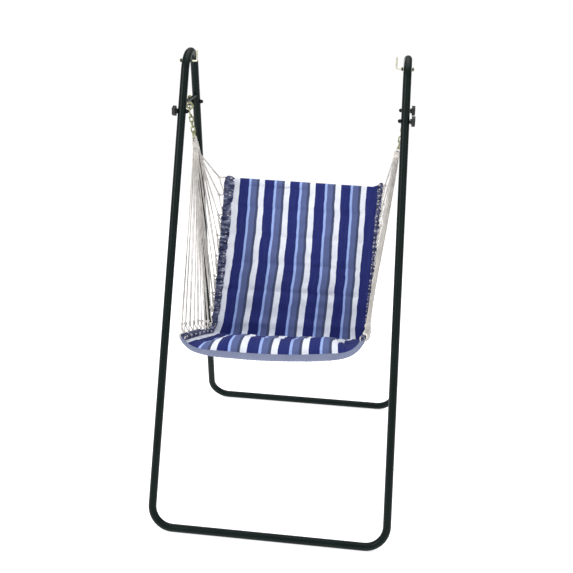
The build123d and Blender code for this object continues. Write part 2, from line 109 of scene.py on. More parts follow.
def surf(u, s):
    u, s = np.broadcast_arrays(np.asarray(u, float), np.asarray(s, float))
    c = centre(s)
    a = np.abs(u)
    left = u < 0
    k = np.where(left, smooth_tab(NARROW_L, s), smooth_tab(NARROW_R, s))
    x = np.sign(u) * smooth_tab(HALF_W, s) * (a - k * a ** 5) + smooth_tab(SHIFT_X, s)
    g = 0.3 * a * a + 0.7 * a ** 10
    ey = np.where(left, smooth_tab(EDGE_L, s, 1), smooth_tab(EDGE_R, s, 1))
    ez = np.where(left, smooth_tab(EDGE_L, s, 2), smooth_tab(EDGE_R, s, 2))
    y = c[..., 0] + g * ey
    z = c[..., 1] + g * ez + u * smooth_tab(ROLL_Z, s)
    return np.stack([x, y, z], -1)


def surf_n(u, s, h=0.008):
    # unit normal, pointing away from the sitter
    u, s = np.broadcast_arrays(np.asarray(u, float), np.asarray(s, float))
    u0, u1 = np.clip(u - h, -1, 1), np.clip(u + h, -1, 1)
    s0, s1 = np.clip(s - h, 0, 1), np.clip(s + h, 0, 1)
    n = np.cross(surf(u1, s) - surf(u0, s), surf(u, s1) - surf(u, s0))
    n /= np.linalg.norm(n, axis=-1, keepdims=True)
    ref = np.stack([np.zeros_like(s), np.where(s < 0.56, 1.0, 0.0), np.where(s < 0.56, -0.2, -1.0)], -1)
    flip = np.sum(n * ref, -1, keepdims=True) < 0
    return np.where(flip, -n, n)


# --------------------------------------------------------------- materials ---
def lin(c):
    return tuple(((v / 255) / 12.92 if v / 255 <= 0.04045 else ((v / 255 + 0.055) / 1.055) ** 2.4) for v in c) + (1.0,)


class Mat:
    def __init__(self, name):
        self.m = bpy.data.materials.new(name)
        self.m.use_nodes = True
        self.t = self.m.node_tree
        self.t.nodes.clear()
        self.out = self.t.nodes.new("ShaderNodeOutputMaterial")
        self.b = self.t.nodes.new("ShaderNodeBsdfPrincipled")
        self.t.links.new(self.b.outputs[0], self.out.inputs[0])

    def n(self, kind, **kw):
        node = self.t.nodes.new(kind)
        for k, v in kw.items():
            setattr(node, k, v)
        return node

    def link(self, a, b):
        self.t.links.new(a, b)

    def coord(self, kind="Object"):
        return self.n("ShaderNodeTexCoord").outputs[kind]

    def noise(self, vec, scale, detail=3.0, rough=0.55):
        t = self.n("ShaderNodeTexNoise")
        t.inputs["Scale"].default_value = scale
        t.inputs["Detail"].default_value = detail
        t.inputs["Roughness"].default_value = rough
        self.link(vec, t.inputs["Vector"])
        return t.outputs["Fac"]

    def ramp(self, fac, stops, mode="LINEAR"):
        r = self.n("ShaderNodeValToRGB")
        r.color_ramp.interpolation = mode
        el = r.color_ramp.elements
        while len(el) > 1:
            el.remove(el[-1])
        el[0].position, el[0].color = stops[0]
        for p, c in stops[1:]:
            e = el.new(p)
            e.color = c
        self.link(fac, r.inputs[0])
        return r.outputs[0]

    def mix(self, fac, a, b, mode="MIX"):
        m = self.n("ShaderNodeMix", data_type="RGBA", blend_type=mode)
        for sock, val in ((m.inputs[0], fac), (m.inputs[6], a), (m.inputs[7], b)):
            if isinstance(val, bpy.types.NodeSocket):
                self.link(val, sock)
            else:
                sock.default_value = val
        return m.outputs[2]

    def math(self, op, a, b=0.0, c=0.0):
        m = self.n("ShaderNodeMath", operation=op)
        for sock, val in zip(m.inputs, (a, b, c)):
            if isinstance(val, bpy.types.NodeSocket):
                self.link(val, sock)
            else:
                sock.default_value = val
        return m.outputs[0]

    def bump(self, height, strength=0.2, dist=0.001, normal=None):
        b = self.n("ShaderNodeBump")
        b.inputs["Strength"].default_value = strength
        b.inputs["Distance"].default_value = dist
        self.link(height, b.inputs["Height"])
        if normal is not None:
            self.link(normal, b.inputs["Normal"])
        self.link(b.outputs[0], self.b.inputs["Normal"])
        return b.outputs[0]

    def set(self, **kw):
        for k, v in kw.items():
            sock = self.b.inputs[k.replace("_", " ")]
            if isinstance(v, bpy.types.NodeSocket):
                self.link(v, sock)
            else:
                sock.default_value = v
        return self


def painted(name, dark, light, rough=(0.3, 0.42), peel=1.0):
    m = Mat(name)
    co = m.coord()
    big = m.noise(co, 9.0, 4)
    fine = m.noise(co, 900.0, 2)
    speck = m.noise(co, 260.0, 3, 0.6)
    col = m.mix(m.ramp(big, [(0.3, (0, 0, 0, 1)), (0.75, (1, 1, 1, 1))]), dark, light)
    col = m.mix(m.math("MULTIPLY", m.ramp(speck, [(0.58, (0, 0, 0, 1)), (0.72, (1, 1, 1, 1))]), 0.35), col,
                tuple(min(1, c * 1.8 + 0.004) for c in light[:3]) + (1,))
    m.set(Base_Color=col)
    m.set(Roughness=m.math("ADD", m.math("MULTIPLY", speck, rough[1] - rough[0]), rough[0]))
    m.b.inputs["Specular IOR Level"].default_value = 0.13
    h = m.math("ADD", m.math("MULTIPLY", fine, 0.4), speck)
    m.bump(h, 0.10 * peel, 0.0006)
    return m.m


def zinc(name, base, dark, rough=0.34):
    m = Mat(name)
    co = m.coord()
    big = m.noise(co, 60.0, 5, 0.6)
    fine = m.noise(co, 700.0, 4, 0.6)
    v = m.n("ShaderNodeTexVoronoi")
    v.inputs["Scale"].default_value = 240.0
    m.link(co, v.inputs["Vector"])
    spangle = v.outputs["Color"]
    col = m.mix(m.ramp(big, [(0.35, (0, 0, 0, 1)), (0.7, (1, 1, 1, 1))]), base, dark)
    col = m.mix(0.08, col, spangle, "OVERLAY")
    m.set(Base_Color=col, Metallic=1.0)
    m.set(Roughness=m.math("ADD", m.math("MULTIPLY", fine, 0.22), rough - 0.08))
    m.bump(fine, 0.16, 0.0004)
    return m.m


def plastic(name, c1, c2):
    m = Mat(name)
    co = m.coord()
    fine = m.noise(co, 1400.0, 3, 0.6)
    big = m.noise(co, 50.0, 3)
    m.set(Base_Color=m.mix(big, c1, c2))
    m.set(Roughness=m.math("ADD", m.math("MULTIPLY", fine, 0.25), 0.36))
    m.bump(fine, 0.22, 0.0003)
    return m.m


def weave_height(m, uv, sx, sy):
    # plain weave: over and under threads from two sine fields in cloth coordinates
    sep = m.n("ShaderNodeSeparateXYZ")
    m.link(uv, sep.inputs[0])
    a = m.math("SINE", m.math("MULTIPLY", sep.outputs[0], sx))
    b = m.math("SINE", m.math("MULTIPLY", sep.outputs[1], sy))
    return m.math("MULTIPLY", a, b), a, b


def cloth(name, base, light, dark, sheen=0.08):
    m = Mat(name)
    co = m.coord("UV")
    obj = m.coord()
    w, a, b = weave_height(m, co, 2 * math.pi * 700, 2 * math.pi * 700)
    blot = m.noise(obj, 22.0, 4, 0.6)
    slub = m.noise(obj, 160.0, 3, 0.6)
    col = m.mix(m.ramp(blot, [(0.3, (0, 0, 0, 1)), (0.7, (1, 1, 1, 1))]), base, light)
    col = m.mix(m.math("MULTIPLY", m.ramp(slub, [(0.35, (0, 0, 0, 1)), (0.75, (1, 1, 1, 1))]), 0.3), col, dark)
    m.set(Base_Color=col, Roughness=0.9)
    m.b.inputs["Specular IOR Level"].default_value = 0.15
    m.b.inputs["Sheen Weight"].default_value = sheen
    m.b.inputs["Sheen Roughness"].default_value = 0.5
    h = m.math("ADD", m.math("MULTIPLY", w, 0.35), m.math("MULTIPLY", slub, 1.2))
    m.bump(h, 0.35, 0.0006)
    return m.m


def gathered(name):
    # striped cloth drawn up into fine gathers, so that its colours break up into patches across the edge, with painted
    # shade in the hollows of the folds
    m = Mat(name)
    uv = m.coord("UV")
    obj = m.coord()
    mp = m.n("ShaderNodeMapping")
    mp.inputs["Scale"].default_value = (75.0, 26.0, 1.0)
    m.link(uv, mp.inputs[0])
    fold_height_and_shade = m.noise(mp.outputs[0], 1.0, 3, 0.55)
    n2 = m.noise(obj, 38.0, 4, 0.6)
    n3 = m.noise(obj, 300.0, 3, 0.6)
    f = m.math("ADD", m.math("MULTIPLY", fold_height_and_shade, 0.62), m.math("MULTIPLY", n2, 0.38))
    # painted shade: the colour sinks to a shaded navy where the fold noise is low, the same noise that sinks the bump
    # there, and lightens on the fold tops
    col = m.ramp(f, [(0.36, lin((24, 28, 56))), (0.44, lin((52, 58, 90))), (0.50, lin((84, 90, 122))),
                     (0.56, lin((118, 120, 148))), (0.63, lin((196, 200, 216)))])
    col = m.mix(m.math("MULTIPLY", n3, 0.25), col, lin((40, 44, 70)))
    m.set(Base_Color=col, Roughness=0.9)
    m.b.inputs["Specular IOR Level"].default_value = 0.12
    m.b.inputs["Sheen Weight"].default_value = 0.06
    w, a_, b_ = weave_height(m, uv, 2 * math.pi * 700, 2 * math.pi * 700)
    h = m.math("ADD", m.math("MULTIPLY", w, 0.3), m.math("MULTIPLY", fold_height_and_shade, 2.5))
    m.bump(h, 0.5, 0.0009)
    return m.m


NAVY, LBLUE, SLATE, SLATE2, WHITE = (lin((13, 25, 104)), lin((158, 182, 240)), lin((88, 100, 148)),
                                     lin((64, 72, 104)), lin((238, 242, 252)))


def striped(name):
    # UV x = cloth distance across in stripe periods, UV y = distance along in metres
    m = Mat(name)
    uv = m.coord("UV")
    obj = m.coord()
    sep = m.n("ShaderNodeSeparateXYZ")
    m.link(uv, sep.inputs[0])
    wob = m.noise(obj, 14.0, 3, 0.6)
    wob2 = m.noise(obj, 120.0, 2, 0.6)
    x = m.math("ADD", sep.outputs[0], m.math("MULTIPLY", m.math("SUBTRACT", wob, 0.5), 0.032))
    x = m.math("ADD", x, m.math("MULTIPLY", m.math("SUBTRACT", wob2, 0.5), 0.012))
    f = m.math("FRACT", x)
    # one period, starting at the left edge of a navy stripe
    p_n, p_l, p_s = 0.372, 0.462, 0.782
    e = 0.006
    stops = [(0.0, NAVY), (p_n - e, NAVY), (p_n + e, LBLUE), (p_l - e, LBLUE), (p_l + e, SLATE), (p_s - 0.11, SLATE),
             (p_s - 0.09, SLATE2), (p_s - e, SLATE2), (p_s + e, WHITE), (1.0 - e, WHITE), (1.0, NAVY)]
    col = m.ramp(f, stops)
    # yarn-scale colour change where white and blue yarns mix, at the same strength in every stripe
    streak = m.noise(uv, 1.0, 4, 0.65)
    streak_node = streak.node
    mp = m.n("ShaderNodeMapping")
    mp.inputs["Scale"].default_value = (60.0, 8.0, 1.0)
    m.link(uv, mp.inputs[0])
    m.link(mp.outputs[0], streak_node.inputs["Vector"])
    blot = m.noise(obj, 16.0, 4, 0.6)
    col = m.mix(m.math("MULTIPLY", m.ramp(streak, [(0.4, (0, 0, 0, 1)), (0.75, (1, 1, 1, 1))]), 0.07), col,
                lin((150, 165, 205)))
    col = m.mix(m.math("MULTIPLY", m.ramp(blot, [(0.45, (0, 0, 0, 1)), (0.75, (1, 1, 1, 1))]), 0.14), col,
                lin((20, 30, 80)))
    w, a, b = weave_height(m, uv, 2 * math.pi * 95, 2 * math.pi * 820)
    # painted highlight: the raised crossings of the weave, where the bump is highest, are lightened towards pale
    # blue-white
    col = m.mix(m.math("MULTIPLY", m.math("ADD", m.math("MULTIPLY", w, 0.5), 0.5), 0.04), col, lin((200, 208, 230)))
    m.set(Base_Color=col, Roughness=0.88)
    m.b.inputs["Specular IOR Level"].default_value = 0.12
    m.b.inputs["Sheen Weight"].default_value = 0.05
    m.b.inputs["Sheen Roughness"].default_value = 0.5
    h = m.math("ADD", m.math("MULTIPLY", w, 0.5), m.math("MULTIPLY", wob2, 0.8))
    m.bump(h, 0.35, 0.0006)
    return m.m


def cotton(name, base, dark):
    m = Mat(name)
    obj = m.coord()
    f1 = m.noise(obj, 420.0, 4, 0.65)
    f2 = m.noise(obj, 30.0, 3, 0.6)
    col = m.mix(m.ramp(f2, [(0.35, (0, 0, 0, 1)), (0.7, (1, 1, 1, 1))]), base, dark)
    col = m.mix(m.math("MULTIPLY", m.ramp(f1, [(0.5, (0, 0, 0, 1)), (0.75, (1, 1, 1, 1))]), 0.35), col, dark)
    m.set(Base_Color=col, Roughness=0.92)
    m.b.inputs["Specular IOR Level"].default_value = 0.15
    m.b.inputs["Sheen Weight"].default_value = 0.1
    m.b.inputs["Sheen Roughness"].default_value = 0.4
    m.bump(f1, 0.5, 0.0008)
    return m.m


def wood(name):
    m = Mat(name)
    obj = m.coord()
    mp = m.n("ShaderNodeMapping")
    mp.inputs["Scale"].default_value = (6.0, 90.0, 90.0)
    m.link(obj, mp.inputs[0])
    g = m.noise(mp.outputs[0], 2.0, 6, 0.65)
    m.set(Base_Color=m.ramp(g, [(0.3, lin((150, 108, 66))), (0.6, lin((196, 152, 104))), (0.8, lin((120, 84, 50)))]))
    m.set(Roughness=m.math("ADD", m.math("MULTIPLY", g, 0.2), 0.45))
    m.bump(g, 0.2, 0.0005)
    return m.m


M_FRAME = painted("frame_paint", lin((9, 20, 18)), lin((15, 29, 27)))
M_DARK = painted("dark_steel", lin((14, 20, 18)), lin((24, 32, 30)), (0.35, 0.5))
M_ZINC = zinc("zinc", lin((178, 178, 146)), lin((124, 125, 92)))
M_HOOK = zinc("hook_zinc", lin((226, 224, 204)), lin((190, 188, 164)), 0.3)
M_KNOB = plastic("knob_plastic", lin((10, 15, 14)), lin((18, 26, 24)))
M_STRIPE = striped("striped_cloth")
M_BIND = cloth("binding_cloth", lin((121, 128, 154)), lin((131, 138, 164)), lin((106, 112, 140)))
M_BORDER = gathered("border_cloth")
M_CORD = cotton("cord_cotton", lin((228, 223, 217)), lin((192, 188, 185)))
M_WOOD = wood("rod_wood")


def put(node, mat):
    o = N[node]
    o.data.materials.clear()
    o.data.materials.append(mat)


for n in ("front_base_frame", "rear_base_frame", "left_top_hairpin", "right_top_hairpin", "left_crossbar",
          "right_crossbar"):
    put(n, M_FRAME)
for n in ("joint_bolts", "joint_washers", "top_hook_nuts"):
    put(n, M_DARK)
for n in ("left_hanger_eye", "right_hanger_eye", "hanger_eye_nuts", "left_s_hook", "right_s_hook",
          "left_chain_links", "right_chain_links", "left_gathering_ring", "right_gathering_ring"):
    put(n, M_ZINC)
for n in ("left_top_hook", "right_top_hook"):
    put(n, M_HOOK)
for n in ("left_front_knob", "right_front_knob", "left_rear_knob", "right_rear_knob", "spreader_end_caps"):
    put(n, M_KNOB)
put("spreader_rod", M_WOOD)


# ------------------------------------------------------------- mesh helpers ---
def new_obj(name, verts, faces, mat, uvs=None, smooth=True):
    me = bpy.data.meshes.new(name)
    me.from_pydata([tuple(v) for v in verts], [], faces)
    if uvs is not None:
        lay = me.uv_layers.new(name="UVMap")
        flat = np.asarray([uvs[i] for f in faces for i in f], np.float32).ravel()
        lay.data.foreach_set("uv", flat)
    me.validate()
    if smooth:
        me.polygons.foreach_set("use_smooth", [True] * len(me.polygons))
    me.materials.append(mat)
    me.update()
    o = bpy.data.objects.new(name, me)
    scn.collection.objects.link(o)
    return o


def grid_faces(nr, nc, closed_c=False, closed_r=False, base=0, flip=False):
    out = []
    for i in range(nr if closed_r else nr - 1):
        for j in range(nc if closed_c else nc - 1):
            i2, j2 = (i + 1) % nr, (j + 1) % nc
            f = (base + i * nc + j, base + i2 * nc + j, base + i2 * nc + j2, base + i * nc + j2)
            out.append(tuple(reversed(f)) if flip else f)
    return out


def fix_normals(o):
    bm = bmesh.new()
    bm.from_mesh(o.data)
    bmesh.ops.recalc_face_normals(bm, faces=bm.faces)
    bm.to_mesh(o.data)
    bm.free()
    o.data.update()


def frames_along(P):
    # parallel-transport frames along a polyline
    P = np.asarray(P, float)
    T = np.gradient(P, axis=0)
    T /= np.linalg.norm(T, axis=1, keepdims=True)
    ref = np.array([0, 0, 1.0]) if abs(T[0][2]) < 0.9 else np.array([1.0, 0, 0])
    A = np.cross(T[0], ref)
    A /= np.linalg.norm(A)
    As = [A]
    for i in range(1, len(P)):
        v = As[-1] - T[i] * (As[-1] @ T[i])
        As.append(v / np.linalg.norm(v))
    As = np.array(As)
    return T, As, np.cross(T, As)


def tube(P, radius, seg=10, closed=False, prof_fn=None):
    # verts and faces of a round tube; radius may vary along the line
    P = np.asarray(P, float)
    T, A, B = frames_along(P)
    if closed:
        T = np.roll(P, -1, 0) - np.roll(P, 1, 0)
        T /= np.linalg.norm(T, axis=1, keepdims=True)
        c = P.mean(0)
        A = P - c
        A -= T * np.sum(A * T, 1, keepdims=True)
        A /= np.linalg.norm(A, axis=1, keepdims=True)
        B = np.cross(T, A)
    r = np.broadcast_to(np.asarray(radius, float), (len(P),))
    th = np.linspace(0, 2 * math.pi, seg, endpoint=False)
    V = P[:, None, :] + r[:, None, None] * (np.cos(th)[None, :, None] * A[:, None, :]
                                            + np.sin(th)[None, :, None] * B[:, None, :])
    V = V.reshape(-1, 3)
    F = grid_faces(len(P), seg, closed_c=True, closed_r=closed)
    if not closed:
        F.append(tuple(range(seg)))
        F.append(tuple(reversed(range((len(P) - 1) * seg, len(P) * seg))))
    return V, F


def join_parts(parts):
    V, F, base = [], [], 0
    for v, f in parts:
        V.append(np.asarray(v))
        F += [tuple(i + base for i in q) for q in f]
        base += len(v)
    return np.concatenate(V), F


# ----------------------------------------------------------------- the pad ---
PERIOD = 0.3215                     # one stripe period in u
CREST, CREST_S, CREST_L, CREST_R = 52.0, (0.60, 0.885, 0.92, 0.974), (0.35, 0.92), (0.55, 0.94)
STRIPE_U0 = np.array([(0, 0.072), (0.2, 0.072), (0.40, 0.060), (0.58, 0.040), (0.65, 0.030), (1, -0.032)], float)
STRIPE_P = np.array([(0, 0.3215), (0.3, 0.3215), (0.58, 0.330), (0.7, 0.3215), (1, 0.3215)], float)


def crest(u, s):
    # extra fullness of the seat pad towards its front edge, as in the part
    s0, s1, s2, s3 = CREST_S
    k = np.clip((s - s0) / (s1 - s0), 0, 1)
    f = np.where(s < s2, k * k * (3 - 2 * k), np.sqrt(np.clip(1 - ((s - s2) / (s3 - s2)) ** 2, 0, 1)))
    f = np.where((s <= s0) | (s >= s3), 0.0, f)
    a0 = np.where(u < 0, CREST_L[0], CREST_R[0])
    a1 = np.where(u < 0, CREST_L[1], CREST_R[1])
    k = np.clip((np.abs(u) - a0) / (a1 - a0), 0, 1)
    return CREST * f * np.cos(k * math.pi / 2) ** 2


def stripe_coord(u, s):
    # in periods, whole numbers at the left edge of each navy stripe
    return (u - np.interp(s, STRIPE_U0[:, 0], STRIPE_U0[:, 1])) / np.interp(s, STRIPE_P[:, 0], STRIPE_P[:, 1]) + 2.686


def value_noise(x, y, seed=0):
    # smooth repeatable 2-D noise between -1 and 1
    r = np.random.default_rng(seed).uniform(-1, 1, (64, 64))
    x, y = np.broadcast_arrays(np.asarray(x, float), np.asarray(y, float))
    xi, yi = np.floor(x).astype(int), np.floor(y).astype(int)
    fx, fy = x - xi, y - yi
    fx, fy = fx * fx * (3 - 2 * fx), fy * fy * (3 - 2 * fy)
    g = lambda a, b: r[a % 64, b % 64]
    return ((g(xi, yi) * (1 - fx) + g(xi + 1, yi) * fx) * (1 - fy)
            + (g(xi, yi + 1) * (1 - fx) + g(xi + 1, yi + 1) * fx) * fy)


def corner_lift(u, s):
    # the top corners are drawn up by the first cords
    k = np.clip((np.abs(u) - 0.84) / 0.16, 0, 1) ** 1.5
    return np.where(u < 0, 9.0, 17.0) * k * np.exp(-(np.asarray(s) / 0.045) ** 1.3)


U_L, U_R = -0.925, 0.962            # where the striped pad ends at each side
PU = 150
PS = 310
q = np.linspace(0, 1, PU)
us = U_L + (U_R - U_L) * (0.5 - 0.5 * np.cos(np.pi * (0.04 + 0.92 * q))) / 1.0
us = U_L + (us - us[0]) / (us[-1] - us[0]) * (U_R - U_L)
us = 0.5 * us + 0.5 * np.linspace(U_L, U_R, PU)
ss = np.concatenate([np.linspace(0.004, 0.55, PS // 2, endpoint=False),
                     np.linspace(0.55, 0.66, PS // 5, endpoint=False),
                     np.linspace(0.66, 0.978, PS - PS // 2 - PS // 5)])
UU, SS = np.meshgrid(us, ss)
mid = surf(UU, SS)
nor = surf_n(UU, SS)
xm = UU * smooth_tab(HALF_W, SS)                    # distance across, mm
ym = SS * L_ALL                                      # distance along, mm
# a few rows of shallow tufts hold the filling; the cloth puckers towards them
tuft = np.zeros_like(UU)
pull = np.zeros_like(UU)
for ri, ry in enumerate([120, 240, 360, 480, 800, 930]):
    for k in range(-3, 4):
        cx = (k + (0.5 if ri % 2 else 0.0)) * 112.0
        if abs(cx) > 315:
            continue
        dx, dy = xm - cx, ym - ry
        d2 = (dx / 30.0) ** 2 + (dy / 24.0) ** 2
        w = np.exp(-d2) + 0.45 * np.exp(-((dx / 62.0) ** 2 + (dy / 9.0) ** 2))    # the dimple and its pucker
        tuft = np.maximum(tuft, w)
        pull -= dx / 30.0 * w * 2.4
soft = value_noise(xm / 95.0, ym / 62.0, 3) * 3.8 + value_noise(xm / 42.0, ym / 27.0, 4) * 2.2
soft += 0.8 * value_noise(xm / 19.0, ym / 90.0, 6)
s_fold = L1 + L2 * 0.5
near_fold = np.exp(-((ym - s_fold) / 75.0) ** 2)
soft += near_fold * (1.1 * np.sin(xm / 17.0 + 2.0 * value_noise(xm / 60.0, ym / 40.0, 9)) * value_noise(xm / 70.0, ym * 0, 5))
phi = np.clip((ym - L1) / L2, 0, 1)
phi = np.minimum(phi, 1 - phi) * TH_
deep = CREASE_R * (1 / np.cos(phi) - 1) * 0.80       # the sitter's side folds to a tight crease
swell = 6.5 * np.exp(-((ym - (s_fold - 46.0)) / 24.0) ** 2) + 4.0 * np.exp(-((ym - (s_fold + 40.0)) / 22.0) ** 2)
front = 4.5 * np.exp(-((SS - 0.93) / 0.03) ** 2)
ue = np.where(UU < 0, UU / U_L, UU / U_R)
edge_u = np.clip(1 - np.abs(ue) ** 12, 0, 1) ** 0.5
edge_s = 1 - 0.30 * np.clip((SS - 0.955) / 0.023, 0, 1) ** 2
half_t = PAD_T / 2 * np.clip(edge_u, 0.12, 1) * edge_s
C = crest(UU, SS)
up_in = C - deep + (soft - 8.0 * tuft + swell + front) * edge_u
up_out = C * 0.96 - (soft * 0.5 - 2.6 * tuft) * edge_u
top = mid + nor * (PAD_T / 2) - nor * (half_t + up_in)[..., None]
bot = mid + nor * (PAD_T / 2) + nor * (half_t - up_out)[..., None]
side = np.zeros_like(top)
side[..., 0] = 2.0 * value_noise(xm / 150.0, ym / 46.0, 12) + 0.8 * value_noise(xm / 60.0, ym / 21.0, 13)
side *= (edge_u * np.clip(ym / 70.0, 0, 1))[..., None]
top += side
bot += side
tip = corner_lift(UU, SS)
top[..., 2] += tip
bot[..., 2] += tip
V = np.concatenate([top.reshape(-1, 3), bot.reshape(-1, 3)]) / 1000.0
nr, nc = top.shape[:2]
nt = nr * nc
F = grid_faces(nr, nc) + grid_faces(nr, nc, base=nt, flip=True)
for i in range(nr - 1):
    a, b = i * nc, (i + 1) * nc
    F.append((a, nt + a, nt + b, b))
    a, b = i * nc + nc - 1, (i + 1) * nc + nc - 1
    F.append((a, b, nt + b, nt + a))
for j in range(nc - 1):
    F.append((j, j + 1, nt + j + 1, nt + j))
    a = (nr - 1) * nc + j
    F.append((a, nt + a, nt + a + 1, a + 1))
sc = np.clip(stripe_coord(UU, SS) + pull * 0.008 * edge_u, -0.16, 5.33)
uv = np.stack([sc.ravel(), (ym / 1000.0).ravel()], 1)
uv = np.concatenate([uv, uv])
pad = new_obj("sling_pad", V, F, M_STRIPE, uv)
fix_normals(pad)
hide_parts("padded_sling")
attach(pad, "chair")

# -------------------------------------------------------------- front binding ---
bu = np.linspace(-0.955, 0.985, 260)
S_B = 0.985
base = surf(bu, np.full_like(bu, S_B))
bn = surf_n(bu, np.full_like(bu, S_B))
fdir = surf(bu, np.full_like(bu, 0.995)) - surf(bu, np.full_like(bu, 0.96))
fdir /= np.linalg.norm(fdir, axis=1, keepdims=True)
cb = crest(bu, np.full_like(bu, 0.955))
base = base + bn * (PAD_T / 2 + 1.0 - 0.10 * cb)[:, None]
th = np.linspace(0, 2 * math.pi, 32, endpoint=False)
arc = np.cumsum(np.r_[0, np.linalg.norm(np.diff(base, axis=0), axis=1)])
rr = 14.6 + 0.7 * value_noise(arc / 24.0, arc * 0 + 0.3, 8)[:, None] + (
    0.55 * np.sin(arc / 9.0 * 2 * math.pi / 2.0 + 1.5 * value_noise(arc / 30.0, arc * 0, 18)))[:, None] * (
    0.5 + 0.5 * np.cos(th)[None, :] ** 2)
rr = rr * np.interp(bu, [-0.95, -0.55, 0.6, 0.95], [0.50, 0.92, 0.98, 0.62])[:, None]
endk = np.clip(np.minimum(arc, arc[-1] - arc) / 12.0, 0, 1)[:, None] ** 0.5
rr = rr * (0.45 + 0.55 * endk)
VV = base[:, None, :] + (rr * np.cos(th)[None, :] * 0.84)[..., None] * fdir[:, None, :] + (
    rr * np.sin(th)[None, :])[..., None] * bn[:, None, :]
Fb = grid_faces(len(bu), len(th), closed_c=True)
Fb.append(tuple(range(len(th))))
Fb.append(tuple(reversed(range((len(bu) - 1) * len(th), len(bu) * len(th)))))
uvb = np.stack([np.repeat(arc / 1000.0, len(th)), np.tile(th * 0.014, len(bu))], 1)
binding = new_obj("front_binding_roll", VV.reshape(-1, 3) / 1000.0, Fb, M_BIND, uvb)
fix_normals(binding)
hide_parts("front_binding")
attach(binding, "chair")

# ----------------------------------------------------------------- top hem ---
ROD_HALF, SLEEVE_R = 300.0, 12.5
bd = np.array([0.0, T_[0] - A_[0], T_[1] - A_[1]])
bd /= np.linalg.norm(bd)
bnn = np.array([0.0, bd[2], -bd[1]])
rod_c = np.array([13.0, T_[0], T_[1]]) - bd * SLEEVE_R + bnn * (SLEEVE_R + 0.5)
tl = np.array([1.0, 0.0, -4.0 / 340.0])
tl /= np.linalg.norm(tl)
hx = np.linspace(-ROD_HALF - 2, ROD_HALF + 2, 170)
# outline in (away from the sitter, up) about the rod centre: the front lies on the pad, then over the
# rod and down the back to a turned, stitched tail
R = SLEEVE_R + 1.4
ang = np.linspace(math.radians(-8), math.radians(188), 26)
ring_n, ring_u = -np.cos(ang) * R, np.sin(ang) * R
head = np.array([[-R * 0.74, -16.0], [-R * 0.965, -8.0]])
tail = np.array([[R * 0.98, -9.0], [R * 0.86, -20.0], [R * 0.60, -32.0], [R * 0.42, -44.0], [R * 0.38, -56.0]])
out = np.concatenate([head, np.stack([ring_n, ring_u], 1), tail])
cxy = np.array([0.0, -8.0])
inn = out + (cxy - out) / np.linalg.norm(cxy - out, axis=1, keepdims=True) * 1.6
loop = np.concatenate([out, inn[::-1]])
wv = value_noise(hx / 30.0, hx * 0 + 1.7, 11)
wv2 = value_noise(hx / 11.0, hx * 0 + 2.7, 14)
VV = []
UVh = []
for i, x in enumerate(hx):
    c = rod_c + tl * x
    for j, (a, b) in enumerate(loop):
        low = min(1.0, max(0.0, -b / 30.0))
        VV.append(c + bnn * (a * (1 + 0.03 * wv[i]) + 1.2 * wv2[i] * low) + bd * b * (1 + 0.02 * wv[i]))
        UVh.append((min(max((x / 341.0 - 0.072) / PERIOD + 2.686, -0.16), 5.33), b / 1000.0))
Fh = grid_faces(len(hx), len(loop), closed_c=True)
m2 = len(loop)
h2 = len(out)
for sd in (0, len(hx) - 1):
    b0 = sd * m2
    for j in range(h2 - 1):
        qd = (b0 + j, b0 + j + 1, b0 + m2 - 2 - j, b0 + m2 - 1 - j)
        Fh.append(qd if sd == 0 else tuple(reversed(qd)))
hem = new_obj("top_hem", np.array(VV) / 1000.0, Fh, M_STRIPE, UVh)
fix_normals(hem)
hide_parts("top_hem_sleeve")
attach(hem, "chair")

# ----------------------------------------------------------------- ropes ---
ROPE_R = 2.5


def rope_mesh(P, radius, turn=15.0, strands=3, seg=6, per_turn=7, taper=False):
    # laid rope: strands twisted round the line P (millimetres)
    P = np.asarray(P, float)
    d = np.r_[0, np.cumsum(np.linalg.norm(np.diff(P, axis=0), axis=1))]
    n = max(6, int(d[-1] / turn * per_turn))
    qd = np.linspace(0, d[-1], n)
    P = np.stack([np.interp(qd, d, P[:, a]) for a in range(3)], 1)
    T, A, B = frames_along(P)
    rs = radius * 0.53
    ro = radius - rs
    parts = []
    for k in range(strands):
        w = qd / turn * 2 * math.pi + k * 2 * math.pi / strands
        S = P + ro * (np.cos(w)[:, None] * A + np.sin(w)[:, None] * B)
        parts.append(tube(S, rs, seg))
    return join_parts(parts)


def knot_mesh(c, along, r=2.0, size=4.2, seed=0):
    # a small overhand knot: three tight turns that cross
    rg = np.random.default_rng(seed)
    along = along / np.linalg.norm(along)
    ref = np.array([0, 1.0, 0]) if abs(along[1]) < 0.8 else np.array([1.0, 0, 0])
    a = np.cross(along, ref)
    a /= np.linalg.norm(a)
    b = np.cross(along, a)
    t = np.linspace(0, 2 * math.pi, 60, endpoint=False)
    ph = rg.uniform(0, 6.28)
    rad = size * (1 + 0.32 * np.cos(3 * t + ph))
    P = c + (rad * np.cos(2 * t + ph))[:, None] * a + (rad * np.sin(2 * t + ph))[:, None] * b + (
        size * 1.15 * np.sin(3 * t))[:, None] * along
    return tube(P, r, 7, closed=True)


# ---------------------------------------------------- hitches and collars ---
PIV = (431.98040000000003, 0.0, 1588.0)


def lean_point(p, sg, lean):
    a = math.radians(sg * lean)
    x, y, z = p[0], p[1], p[2] - PIV[2]
    return np.array([x * math.cos(a) + z * math.sin(a) + sg * PIV[0], y, -x * math.sin(a) + z * math.cos(a) + PIV[2]])


